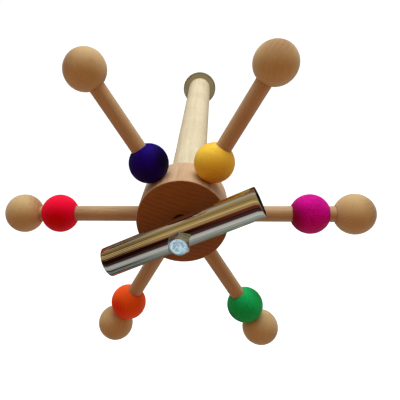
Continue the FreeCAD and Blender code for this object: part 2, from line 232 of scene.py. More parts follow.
@dataclass(frozen=True)
class WoodFinish:
    """Oiled, plain or stained beech, with rings, rays, pores and end grain.

    Args:
        pale: early wood colour.
        deep: late wood and pore colour.
        end: colour that end grain soaks up.
        ring: growth ring width in millimetres.
        pith: place of the pith across the fibres, in millimetres.
        wander: how far the rings stray from circles, in millimetres.
        contrast: strength of the rings.
        streak: strength of the long streaks along the fibres.
        fleck: strength of the short dark rays.
        rough: roughness of the finish.
        gloss: specular level of the finish.
        bloom: sheen of the raised fibres, seen towards the rims.
    """

    pale: RGB
    deep: RGB
    end: RGB
    ring: float = 2.2
    pith: tuple[float, float] = (30.0, 55.0)
    wander: float = 5.0
    contrast: float = 0.16
    streak: float = 0.4
    fleck: float = 0.5
    rough: float = 0.52
    gloss: float = 0.35
    bloom: float = 0.0

    def build(self, name: str) -> bpy.types.Material:
        """Build the material, which reads the grain and end_grain attributes."""
        shader = Shader(name)
        grain = shader.attribute("grain").outputs["Vector"]
        end = shader.attribute("end_grain").outputs["Fac"]
        drift = shader.stretched(grain, (0.05, 0.05, 0.012), 2.0)
        across = shader.vector("MULTIPLY", grain, (1.0, 1.0, 0.015))
        from_pith = shader.vector("LENGTH", shader.vector("SUBTRACT", across, (*self.pith, 0.0)))
        reach = shader.math("ADD", from_pith, shader.math("MULTIPLY", drift, self.wander))
        ring = shader.math("FRACT", shader.math("DIVIDE", reach, self.ring))
        late = shader.math("SUBTRACT", shader.span(ring, 0.15, 0.86), shader.span(ring, 0.90, 1.0))
        season = shader.stretched(grain, (0.16, 0.16, 0.01), 2.0)
        late = shader.math("MULTIPLY", late, shader.span(season, 0.3, 0.65, 0.2, 1.0))
        fibre = shader.stretched(grain, (1.9, 1.9, 0.06), 4.0, 0.6)
        fine = shader.stretched(grain, (6.0, 6.0, 0.35), 3.0, 0.6)
        ray = shader.stretched(grain, (2.6, 1.5, 0.42), 1.5, 0.5)
        flecks = shader.span(ray, 0.60, 0.70)
        pores = shader.span(fine, 0.58, 0.72)
        shade = shader.math("MULTIPLY", late, self.contrast)
        shade = shader.math("ADD", shade, shader.span(fibre, 0.30, 0.75, 0.0, self.streak))
        shade = shader.math("ADD", shade, shader.math("MULTIPLY", flecks, self.fleck * 0.45))
        shade = shader.math("ADD", shade, shader.math("MULTIPLY", pores, 0.12), clamp=True)
        colour = shader.blend(shade, self.pale, self.deep)
        cloud = shader.stretched(grain, (0.045, 0.045, 0.02))
        colour = shader.blend(shader.span(cloud, 0.35, 0.7, 0.0, 0.30), colour, self.deep)
        end_tone = shader.blend(shader.math("MULTIPLY", late, 0.62), self.end, darker(self.end, 0.62))
        end_tone = shader.blend(shader.math("MULTIPLY", pores, 0.35), end_tone, darker(self.end, 0.45))
        colour = shader.blend(end, colour, end_tone)
        wear_and_rim_shade = shader.stretched(grain, (0.3, 0.3, 0.3), 4.0)
        rough = shader.span(wear_and_rim_shade, 0.3, 0.75, self.rough - 0.06, self.rough + 0.12)
        height = shader.math("ADD", shader.math("MULTIPLY", fine, 0.5), shader.math("MULTIPLY", fibre, 0.7))
        height = shader.math("SUBTRACT", height, shader.math("MULTIPLY", flecks, 0.5))
        normal = shader.bump(height, 0.35, 0.00007)
        shader.set(Base_Color=colour, Roughness=rough, Normal=normal, Specular_IOR_Level=self.gloss,
                   Sheen_Weight=self.bloom, Sheen_Roughness=0.4)
        return shader.material


@dataclass(frozen=True)
class MetalFinish:
    """Plated or turned metal with soft mottling and machining marks.

    Args:
        colour: reflected colour.
        dull: colour of its mottling.
        rough: roughness.
        mottle: strength of the mottling.
        rings: spacing of turning rings about the wheel's axis in millimetres, 0 for none.
    """

    colour: RGB
    dull: RGB
    rough: float
    mottle: float = 0.3
    rings: float = 0.0

    def build(self, name: str) -> bpy.types.Material:
        """Build the material on Object coordinates, in millimetres."""
        shader = Shader(name)
        place = shader.place()
        cloud = shader.noise(place, 0.55, 4.0)
        grit = shader.noise(place, 5.0, 3.0)
        stain = shader.span(cloud, 0.42, 0.66, 0.0, self.mottle)
        colour = shader.blend(stain, self.colour, self.dull)
        rough = shader.math("ADD", shader.span(cloud, 0.3, 0.7, self.rough - 0.04, self.rough + 0.10),
                            shader.math("MULTIPLY", grit, 0.05))
        height = shader.math("MULTIPLY", grit, 0.25)
        if self.rings:
            wave = shader.math("SINE", shader.math("MULTIPLY", shader.from_axis(place), TURN / self.rings))
            height = shader.math("ADD", height, shader.math("MULTIPLY", wave, 0.12))
        shader.set(Base_Color=colour, Metallic=1.0, Roughness=rough,
                   Normal=shader.bump(height, 0.25, 0.00004))
        return shader.material


@dataclass(frozen=True)
class ChromeFinish:
    """Mirror plating outside a tube, and drawn steel inside it, coloured near-black there as painted shade.
    """

    plate: RGB = (0.80, 0.79, 0.77)
    # The inside colour is near-black, painted shade within the tube.
    inside: RGB = (0.05, 0.045, 0.04)
    outer_radius: float = 11.0
    wall: float = 1.0

    def build(self, name: str) -> bpy.types.Material:
        """Build the material on the tube's own grain attribute, whose Z runs along the tube."""
        shader = Shader(name)
        grain = shader.attribute("grain").outputs["Vector"]
        radius = shader.vector("LENGTH", shader.vector("MULTIPLY", grain, (1.0, 1.0, 0.0)))
        edge = self.outer_radius - self.wall
        outside = shader.span(radius, edge + 0.25 * self.wall, edge + 0.6 * self.wall)
        smear = shader.stretched(grain, (0.12, 0.12, 0.05), 4.0)
        scratch = shader.stretched(grain, (2.2, 2.2, 0.10))
        polish = shader.span(smear, 0.45, 0.75, 0.02, 0.07)
        rough = shader.math("ADD", polish, shader.span(outside, 0.0, 1.0, 0.34, 0.0))
        # Painted shade: the tube's inner wall takes the near-black inside colour.
        colour = shader.blend(outside, self.inside, self.plate)
        colour = shader.blend(shader.span(smear, 0.5, 0.8, 0.0, 0.25), colour, (0.55, 0.53, 0.50))
        height = shader.math("ADD", scratch, shader.math("MULTIPLY", smear, 1.5))
        shader.set(Base_Color=colour, Metallic=1.0, Roughness=rough,
                   Normal=shader.bump(height, 0.10, 0.00004))
        return shader.material


@dataclass(frozen=True)
class CoatedFinish:
    """Paint or moulded plastic with a fine skin, with painted shade darkening it towards the rim.

    Args:
        colour: body colour.
        rim_shade: painted shade colour, taken beyond rim_radius from the wheel's axis.
        rim_radius: in millimetres.
        rough: roughness.
        skin: depth of the skin's bump in millimetres.
    """

    colour: RGB
    # Painted shade colour for the rim, not wear.
    rim_shade: RGB
    rim_radius: float
    rough: float
    skin: float = 0.05

    def build(self, name: str) -> bpy.types.Material:
        """Build the material on Object coordinates, in millimetres."""
        shader = Shader(name)
        place = shader.place()
        cloud = shader.noise(place, 0.12, 4.0)
        peel = shader.noise(place, 1.6, 2.0)
        clouded = shader.span(cloud, 0.35, 0.7, 0.0, 0.5)
        colour = shader.blend(clouded, self.colour, darker(self.colour, 0.78))
        # Painted shade: the colour darkens towards the rim, beyond rim_radius.
        wear_and_rim_shade = shader.span(shader.from_axis(place), self.rim_radius - 0.6, self.rim_radius + 0.3)
        colour = shader.blend(wear_and_rim_shade, colour, self.rim_shade)
        rough = shader.span(cloud, 0.3, 0.7, self.rough - 0.05, self.rough + 0.1)
        shader.set(Base_Color=colour, Roughness=rough,
                   Normal=shader.bump(peel, 0.3, self.skin * MM))
        return shader.material


class Finish(Enum):
    """Every finish of the object, by the record's slot name."""

    beech_hub = WoodFinish(rgb(216, 180, 146), rgb(176, 130, 92), rgb(160, 97, 48), ring=3.6,
                           pith=(40.0, 150.0), contrast=0.3, streak=0.55, fleck=0.9)
    dowel_wood = WoodFinish(rgb(204, 164, 122), rgb(160, 114, 72), rgb(150, 104, 66), ring=2.4, rough=0.44,
                            gloss=0.7, bloom=0.3)
    ball_wood = WoodFinish(rgb(208, 172, 122), rgb(176, 130, 76), rgb(176, 130, 80), ring=3.1,
                           contrast=0.06, fleck=0.35, bloom=0.3)
    pole_wood = WoodFinish(rgb(220, 201, 171), rgb(186, 158, 122), rgb(184, 156, 112), ring=5.5,
                           contrast=0.22, fleck=0.35, streak=0.5, rough=0.64, gloss=0.25)
    stain_magenta = WoodFinish(rgb(240, 0, 172), rgb(142, 0, 56), rgb(150, 0, 66), contrast=0.06,
                               streak=0.8, gloss=0.07)
    stain_yellow = WoodFinish(rgb(254, 212, 70), rgb(238, 164, 20), rgb(236, 162, 24), contrast=0.06,
                              streak=0.5, fleck=0.45, gloss=0.2)
    stain_blue = WoodFinish(rgb(36, 2, 140), rgb(8, 0, 34), rgb(12, 0, 46), contrast=0.06,
                            streak=0.85, fleck=0.6, gloss=0.05)
    stain_red = WoodFinish(rgb(255, 2, 64), rgb(226, 0, 12), rgb(226, 0, 14), contrast=0.04,
                           fleck=0.4, gloss=0.08)
    stain_orange = WoodFinish(rgb(255, 98, 26), rgb(250, 54, 8), rgb(250, 56, 8), contrast=0.04,
                              fleck=0.45, gloss=0.12)
    stain_green = WoodFinish(rgb(22, 196, 106), rgb(2, 140, 58), rgb(4, 138, 58), contrast=0.06,
                             streak=0.6, fleck=0.45, gloss=0.12)
    mirror_chrome = ChromeFinish()
    zinc_steel = MetalFinish(rgb(216, 232, 242), rgb(160, 180, 196), 0.26, mottle=0.5)
    plain_steel = MetalFinish(rgb(196, 196, 198), rgb(150, 150, 152), 0.26, rings=0.4)
    insert_brass = MetalFinish(rgb(222, 188, 112), rgb(176, 140, 74), 0.28)
    bush_nylon = CoatedFinish(rgb(96, 84, 72), rgb(96, 84, 72), 40.0, 0.45, 0.02)
    # The spacer is a real part; its near-black colour is painted shade, giving the dark patch above the
    # tube.
    spacer_nylon = CoatedFinish(rgb(34, 26, 22), rgb(34, 26, 22), 40.0, 0.5, 0.02)
    # The flange's darker rim colour is painted shade at its edge.
    flange_paint = CoatedFinish(rgb(182, 186, 160), rgb(108, 112, 100), 26.3, 0.42)


MATERIALS: dict[str, bpy.types.Material] = {}


def finish_of(slot: str) -> bpy.types.Material:
    """Return the material of a record slot, building it at its first use."""
    if slot not in MATERIALS:
        MATERIALS[slot] = Finish[slot].value.build("finish_" + slot)
    return MATERIALS[slot]


# ---------------------------------------------------------------------------------------------------------
# Mesh helpers
# ---------------------------------------------------------------------------------------------------------


def rounded(corners: Sequence[tuple[float, float, float]], steps: int = 5) -> Outline:
    """Round the corners of a closed profile.

    Args:
        corners: radius, height and corner radius of each corner, in millimetres.
        steps: pieces in each rounded corner.

    Returns:
        The profile's points, in order.
    """
    points: Outline = []
    count = len(corners)
    for index, (radius, height, bend) in enumerate(corners):
        here = Vector((radius, height))
        before = Vector(corners[index - 1][:2]) - here
        after = Vector(corners[(index + 1) % count][:2]) - here
        if bend <= 0.0:
            points.append((here.x, here.y))
            continue
        reach = min(bend, 0.49 * before.length, 0.49 * after.length)
        start, end = here + before.normalized() * reach, here + after.normalized() * reach
        for step in range(steps + 1):
            share = step / steps
            near = start.lerp(here, share).lerp(here.lerp(end, share), share)
            points.append((near.x, near.y))
    return points


def divided(points: Outline, longest: float) -> Outline:
    """Split the long runs of a closed profile.

    Args:
        points: the profile's points, in order.
        longest: longest piece to leave.

    Returns:
        The profile's points with those between them.
    """
    result: Outline = []
    for here, there in zip(points, list(points[1:]) + [points[0]]):
        pieces = max(1, math.ceil(math.dist(here, there) / longest))
        for step in range(pieces):
            share = step / pieces
            result.append(tuple(start + (end - start) * share for start, end in zip(here, there)))
    return result


def lathe(name: str, profile: Outline, segments: int = 128,
          waver: Optional[Callable[[Vector], float]] = None) -> bpy.types.Mesh:
    """Spin a closed profile about Z into a mesh in millimetres, with outward faces.

    Args:
        name: the mesh's name.
        profile: radius and height of each point; a point of radius 0 becomes a pole.
        segments: faces round the axis.
        waver: moves a point outward by the millimetres it returns.

    Returns:
        The mesh.
    """
    shape = bmesh.new()
    rings = []
    for radius, height in profile:
        if radius <= 1e-6:
            rings.append([shape.verts.new((0.0, 0.0, height))])
            continue
        ring = []
        for step in range(segments):
            angle = TURN * step / segments
            point = Vector((math.cos(angle), math.sin(angle), 0.0))
            place = point * radius + Vector((0.0, 0.0, height))
            if waver:
                place += point * waver(place)
            ring.append(shape.verts.new(place))
        rings.append(ring)
    for first, second in zip(rings, rings[1:] + rings[:1]):
        if len(first) == 1 and len(second) == 1:
            continue
        for step in range(segments):
            after = (step + 1) % segments
            corners = [first[step % len(first)], first[after % len(first)],
                       second[after % len(second)], second[step % len(second)]]
            unique = list(dict.fromkeys(corners))
            if len(unique) > 2:
                shape.faces.new(unique)
    bmesh.ops.recalc_face_normals(shape, faces=shape.faces)
    mesh = bpy.data.meshes.new(name)
    shape.to_mesh(mesh)
    shape.free()
    return mesh


def stamp_grain(mesh: bpy.types.Mesh, seed: int, turn: Optional[Matrix] = None) -> None:
    """Store the grain and end_grain attributes from a mesh that is still in its own place, in millimetres.

    Args:
        mesh: the mesh, in millimetres.
        seed: shifts the pattern so that no two pieces match.
        turn: rotation from the piece's axes to the fibre's, with the fibres along Z.
    """
    dice = random.Random(seed)
    shift = Vector((dice.uniform(-9, 9), dice.uniform(-9, 9), dice.uniform(-400, 400)))
    turn = turn or Matrix.Identity(3)
    mesh.attributes.new("grain", "FLOAT_VECTOR", "POINT")
    mesh.attributes.new("end_grain", "FLOAT", "POINT")
    grain, end = mesh.attributes["grain"], mesh.attributes["end_grain"]
    for vertex in mesh.vertices:
        grain.data[vertex.index].vector = turn @ vertex.co + shift
        along = abs((turn @ vertex.normal).z)
        end.data[vertex.index].value = max(0.0, min(1.0, (along - 0.55) / 0.4)) ** 1.5


def stamp_grain_plain(mesh: bpy.types.Mesh) -> None:
    """Store a piece's own place in millimetres as its grain attribute, with no shift."""
    grain = mesh.attributes.new("grain", "FLOAT_VECTOR", "POINT")
    for vertex in mesh.vertices:
        grain.data[vertex.index].vector = vertex.co


def place_mesh(mesh: bpy.types.Mesh, place: Matrix) -> None:
    """Move a mesh to its place.

    Args:
        mesh: the mesh, in millimetres.
        place: its place in the frame, in metres.
    """
    mesh.transform(place @ Matrix.Scale(MM, 4))
    mesh.update()


def shade(mesh: bpy.types.Mesh, sharpest: float = 29.0) -> None:
    """Shade a mesh smooth, but for its sharp edges.

    Args:
        mesh: the mesh.
        sharpest: edges where the faces turn by more degrees than this stay sharp.
    """
    shape = bmesh.new()
    shape.from_mesh(mesh)
    for face in shape.faces:
        face.smooth = True
    for edge in shape.edges:
        edge.smooth = edge.calc_face_angle(0.0) < math.radians(sharpest)
    shape.to_mesh(mesh)
    shape.free()


def facing_front(station: float) -> Matrix:
    """Place a lathed piece with its Z to the front and its own zero at a Y in metres."""
    return Matrix.Translation((0.0, station, 0.0)) @ Matrix.Rotation(math.radians(90.0), 4, "X")


def along_spoke(centre: Vector, angle: float, distance: float) -> Matrix:
    """Place a lathed piece with its Z outward along a spoke.

    Args:
        centre: where the spokes meet.
        angle: the spoke's angle above the X axis, in degrees.
        distance: from the centre, in metres.

    Returns:
        The place.
    """
    turn = Matrix.Rotation(math.radians(90.0 - angle), 4, "Y")
    outward = Vector((math.cos(math.radians(angle)), 0.0, math.sin(math.radians(angle))))
    return Matrix.Translation(centre + outward * distance) @ turn


def present(name: str, mesh: bpy.types.Mesh, body: str, slot: str,
            stands_for: Sequence[str]) -> bpy.types.Object:
    """Show a finished mesh as a piece of the object.

    Args:
        name: the piece's name.
        mesh: its mesh, in place and in metres.
        body: the CAD body that it rides on.
        slot: the record's material slot.
        stands_for: the CAD nodes that it replaces.

    Returns:
        The piece.
    """
    shade(mesh)
    mesh.materials.clear()
    mesh.materials.append(finish_of(slot))
    piece = bpy.data.objects.new(name, mesh)
    bpy.context.scene.collection.objects.link(piece)
    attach(piece, body)
    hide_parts(*stands_for)
    LOG.info("%s rides on %s and stands for %s", name, body, ", ".join(stands_for))
    return piece


def carve(name: str, block: bpy.types.Mesh, tool: bpy.types.Mesh, operation: str) -> bpy.types.Mesh:
    """Combine two closed meshes with an exact boolean.

    Args:
        name: name of the step.
        block: the mesh that is worked on.
        tool: the mesh that it is combined with.
        operation: DIFFERENCE, INTERSECT or UNION.

    Returns:
        The plain result.
    """
    holder = bpy.data.objects.new(name, block)
    cutter = bpy.data.objects.new(name + "_tool", tool)
    for item in (holder, cutter):
        bpy.context.scene.collection.objects.link(item)
    modifier = holder.modifiers.new("cut", "BOOLEAN")
    modifier.operation = operation
    modifier.solver = "EXACT"
    modifier.object = cutter
    graph = bpy.context.evaluated_depsgraph_get()
    made = bpy.data.meshes.new_from_object(holder.evaluated_get(graph))
    holder.modifiers.remove(modifier)
    for item in (holder, cutter):
        bpy.data.objects.remove(item)
    return made


def paint_node(node: str, slot: str) -> None:
    """Give a CAD node that keeps its shape its finish.

    Args:
        node: the node.
        slot: the record's material slot.
    """
    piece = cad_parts[node]
    piece.data.materials.clear()
    piece.data.materials.append(finish_of(slot))
    LOG.info("%s keeps its shape and takes %s", node, slot)


# ---------------------------------------------------------------------------------------------------------
# Geometry Nodes
# ---------------------------------------------------------------------------------------------------------


class NodeRecipe(NodeKit):
    """A Geometry Nodes tree with named inputs, run once on a mesh and then turned into a plain mesh."""

    def __init__(self, name: str, inputs: dict[str, tuple[str, object]]) -> None:
        """Start a tree.

        Args:
            name: the tree's name.
            inputs: socket type and value of each input, by name.
        """
        super().__init__(bpy.data.node_groups.new(name, "GeometryNodeTree"))
        self.values = inputs
        face = self.tree.interface
        face.new_socket("Geometry", in_out="INPUT", socket_type="NodeSocketGeometry")
        self.sockets = {key: face.new_socket(key, in_out="INPUT", socket_type=kind)
                        for key, (kind, _) in inputs.items()}
        face.new_socket("Geometry", in_out="OUTPUT", socket_type="NodeSocketGeometry")
        self.start = self.tree.nodes.new("NodeGroupInput")
        self.end = self.tree.nodes.new("NodeGroupOutput")

    def given(self, name: str) -> Socket:
        """Return the socket of a named input."""
        return self.start.outputs[name]

    def store(self, geometry: Socket, name: str, domain: str, value: Socket) -> Socket:
        """Store a vector attribute.

        Args:
            geometry: the geometry that gets it.
            name: the attribute's name.
            domain: where it is stored.
            value: its value.

        Returns:
            The geometry with the attribute.
        """
        made = self.add("GeometryNodeStoreNamedAttribute", {"data_type": "FLOAT_VECTOR", "domain": domain},
                        Geometry=geometry, Name=name)
        kept = next(socket for socket in made.inputs if socket.name == "Value" and socket.type == "VECTOR")
        self.feed(kept, value)
        return made.outputs[0]

    def stored(self, name: str) -> Socket:
        """Read a stored vector attribute."""
        kind = {"data_type": "FLOAT_VECTOR"}
        return self.add("GeometryNodeInputNamedAttribute", kind, Name=name).outputs[0]

    def close(self, geometry: Socket, material: bpy.types.Material) -> None:
        """End the tree with Realize Instances and Set Material."""
        whole = self.add("GeometryNodeRealizeInstances", Geometry=geometry)
        painted = self.add("GeometryNodeSetMaterial", Geometry=whole.outputs[0], Material=material)
        self.feed(self.end.inputs[0], painted.outputs[0])

    def bake(self, source: bpy.types.Mesh) -> bpy.types.Mesh:
        """Run the tree on a mesh and return the plain mesh that it makes."""
        holder = bpy.data.objects.new(self.tree.name + "_holder", source)
        bpy.context.scene.collection.objects.link(holder)
        modifier = holder.modifiers.new("recipe", "NODES")
        modifier.node_group = self.tree
        for key, (_, value) in self.values.items():
            modifier[self.sockets[key].identifier] = value
        graph = bpy.context.evaluated_depsgraph_get()
        made = bpy.data.meshes.new_from_object(holder.evaluated_get(graph))
        holder.modifiers.remove(modifier)
        bpy.data.objects.remove(holder)
        return made


def ring_of(name: str, piece: bpy.types.Mesh, count: int, reach: float, first_angle: float,
            radial: bool, material: bpy.types.Material) -> bpy.types.Mesh:
    """Repeat a piece round a circle about Z, in millimetres, each copy with its own shift of grain.

    Args:
        name: the tree's name.
        piece: the mesh to repeat, in millimetres, with its grain stamped.
        count: number of copies.
        reach: circle's radius.
        first_angle: angle of the first copy from X, in degrees.
        radial: True to turn each copy's Z outward, False to keep it along the circle's axis.
        material: the finish.

    Returns:
        One mesh of all copies.
    """
    recipe = NodeRecipe(name, {
        "Count": ("NodeSocketInt", count),
        "Reach": ("NodeSocketFloat", reach),
        "First Angle": ("NodeSocketFloat", math.radians(first_angle)),
        "Seed": ("NodeSocketInt", SEED),
    })
    line = recipe.add("GeometryNodePoints", Count=recipe.given("Count"))
    index = recipe.add("GeometryNodeInputIndex").outputs[0]
    step = recipe.math("DIVIDE", TURN, recipe.given("Count"))
    angle = recipe.math("ADD", recipe.math("MULTIPLY", index, step), recipe.given("First Angle"))
    place = recipe.add("ShaderNodeCombineXYZ",
                       X=recipe.math("MULTIPLY", recipe.math("COSINE", angle), recipe.given("Reach")),
                       Y=recipe.math("MULTIPLY", recipe.math("SINE", angle), recipe.given("Reach")))
    moved = recipe.add("GeometryNodeSetPosition", Geometry=line.outputs[0], Position=place.outputs[0])
    turned = recipe.add("ShaderNodeCombineXYZ", Y=math.radians(90.0) if radial else 0.0, Z=angle)
    rotation = recipe.add("FunctionNodeEulerToRotation", Euler=turned.outputs[0])
    copies = recipe.add("GeometryNodeInstanceOnPoints", Points=moved.outputs[0],
                        Instance=recipe.given("Geometry"), Rotation=rotation.outputs[0])
    shift = recipe.add("FunctionNodeRandomValue", {"data_type": "FLOAT_VECTOR"}, Seed=recipe.given("Seed"))
    shift.inputs[0].default_value = tuple(-reach for reach in GRAIN_REACH)
    shift.inputs[1].default_value = GRAIN_REACH
    kept = recipe.store(copies.outputs[0], "grain_shift", "INSTANCE", shift.outputs[0])
    whole = recipe.add("GeometryNodeRealizeInstances", Geometry=kept)
    grain = recipe.vector("ADD", recipe.stored("grain"), recipe.stored("grain_shift"))
    recipe.close(recipe.store(whole.outputs[0], "grain", "POINT", grain), material)
    return recipe.bake(piece)


def threaded(name: str, rod: bpy.types.Mesh, pitch: float, depth: float, start: float, end: float,
             material: bpy.types.Material) -> bpy.types.Mesh:
    """Cut a thread into a lathed rod by moving its wall inward along a helix.

    Args:
        name: the tree's name.
        rod: the rod in millimetres, about Z, divided finely along its length.
        pitch: length of one turn.
        depth: depth of the thread.
        start: height where the thread starts.
        end: height where it ends.
        material: the finish.

    Returns:
        The threaded rod's mesh.
    """
    recipe = NodeRecipe(name, {
        "Pitch": ("NodeSocketFloat", pitch),
        "Depth": ("NodeSocketFloat", depth),
        "Start": ("NodeSocketFloat", start),
        "End": ("NodeSocketFloat", end),
    })
    place = recipe.add("GeometryNodeInputPosition").outputs[0]
    parts = recipe.add("ShaderNodeSeparateXYZ", Vector=place)
    side_x, side_y, height = parts.outputs
    angle = recipe.math("ARCTAN2", side_y, side_x)
    turns = recipe.math("SUBTRACT", recipe.math("DIVIDE", height, recipe.given("Pitch")),
                        recipe.math("DIVIDE", angle, TURN))
    groove = recipe.math("MULTIPLY", recipe.math("PINGPONG", turns, 0.5), 2.0)
    above = recipe.math("SUBTRACT", height, recipe.given("Start"))
    below = recipe.math("SUBTRACT", recipe.given("End"), height)
    inside = recipe.math("MINIMUM", above, below)
    run_out = recipe.add("ShaderNodeClamp", Value=recipe.math("DIVIDE", inside, recipe.given("Pitch")))
    radius = recipe.math("SQRT", recipe.math("ADD", recipe.math("MULTIPLY", side_x, side_x),
                                             recipe.math("MULTIPLY", side_y, side_y)))
    cut = recipe.math("MULTIPLY", groove, recipe.given("Depth"))
    cut = recipe.math("MULTIPLY", cut, run_out.outputs[0])
    kept = recipe.math("DIVIDE", recipe.math("MAXIMUM", recipe.math("SUBTRACT", radius, cut), 0.0),
                       recipe.math("MAXIMUM", radius, 0.001))
    scaled = recipe.add("ShaderNodeCombineXYZ", X=recipe.math("MULTIPLY", side_x, kept),
                        Y=recipe.math("MULTIPLY", side_y, kept), Z=height)
    shaped = recipe.add("GeometryNodeSetPosition", Geometry=recipe.given("Geometry"),
                        Position=scaled.outputs[0])
    recipe.close(shaped.outputs[0], material)
    return recipe.bake(rod)


def drilled(name: str, block: bpy.types.Mesh, cutter: bpy.types.Mesh, count: int) -> bpy.types.Mesh:
    """Cut a ring of radial holes into a block about Z, in millimetres.

    Args:
        name: the tree's name.
        block: the mesh to drill.
        cutter: one cutter, already placed for the hole along X.
        count: number of holes.

    Returns:
        The drilled mesh.
    """
    tool = bpy.data.objects.new(name + "_cutter", cutter)
    bpy.context.scene.collection.objects.link(tool)
    recipe = NodeRecipe(name, {
        "Cutter": ("NodeSocketObject", tool),
        "Count": ("NodeSocketInt", count),
    })
    points = recipe.add("GeometryNodePoints", Count=recipe.given("Count"))
    index = recipe.add("GeometryNodeInputIndex").outputs[0]
    angle = recipe.math("MULTIPLY", index, recipe.math("DIVIDE", TURN, recipe.given("Count")))
    euler = recipe.add("ShaderNodeCombineXYZ", Z=angle)
    rotation = recipe.add("FunctionNodeEulerToRotation", Euler=euler.outputs[0])
    shape = recipe.add("GeometryNodeObjectInfo", Object=recipe.given("Cutter"))
    copies = recipe.add("GeometryNodeInstanceOnPoints", Points=points.outputs[0],
                        Instance=shape.outputs["Geometry"], Rotation=rotation.outputs[0])
    cutters = recipe.add("GeometryNodeRealizeInstances", Geometry=copies.outputs[0])
    cut = recipe.add("GeometryNodeMeshBoolean", {"operation": "DIFFERENCE", "solver": "EXACT"})
    recipe.feed(cut.inputs[0], recipe.given("Geometry"))
    recipe.feed(cut.inputs[1], cutters.outputs[0])
    recipe.close(cut.outputs[0], finish_of("beech_hub"))
    made = recipe.bake(block)
    bpy.data.objects.remove(tool)
    return made


# ---------------------------------------------------------------------------------------------------------
# Sub-assemblies
# ---------------------------------------------------------------------------------------------------------


def ball_profile(radius: float, bore: float, ease: float, bottom: Optional[float] = None,
                 steps: int = 72) -> Outline:
    """Return the profile of a turned ball with a bore along Z.

    Args:
        radius: ball radius.
        bore: bore radius.
        ease: rounding of the bore's mouth.
        bottom: height of a blind hole's flat bottom, or None for a hole right through.
        steps: pieces in the ball's arc.

    Returns:
        Radius and height of each point, from the mouth at the bottom up the outside.
    """
    mouth = bore + ease
    first = math.asin(mouth / radius)
    last = math.pi if bottom is not None else math.pi - first
    outside = []
    for step in range(steps + 1):
        angle = first + (last - first) * step / steps
        outside.append((max(0.0, radius * math.sin(angle)), -radius * math.cos(angle)))
    height = radius * math.cos(first)
    lip = [(bore + ease * (1.0 - math.sin(turn)), height - ease * (1.0 - math.cos(turn)) - 0.02)
           for turn in (math.radians(22.5 * step) for step in range(1, 5))]
    inner = [(across, -rise) for across, rise in reversed(lip)]
    if bottom is not None:
        return outside + [(0.0, bottom), (bore, bottom)] + inner
    return outside + lip + inner


def lumps(seed: int, size: float, spacing: float) -> Callable[[Vector], float]:
    """Return a function for slight hand-turned unevenness.

    Args:
        seed: moves the pattern.
        size: its height in millimetres.
        spacing: its width in millimetres.

    Returns:
        The function, from a place to millimetres.
    """
    shift = Vector((seed * 7.3, seed * 3.1, seed * 5.7))
    return lambda place: size * noise.noise(place / spacing + shift)


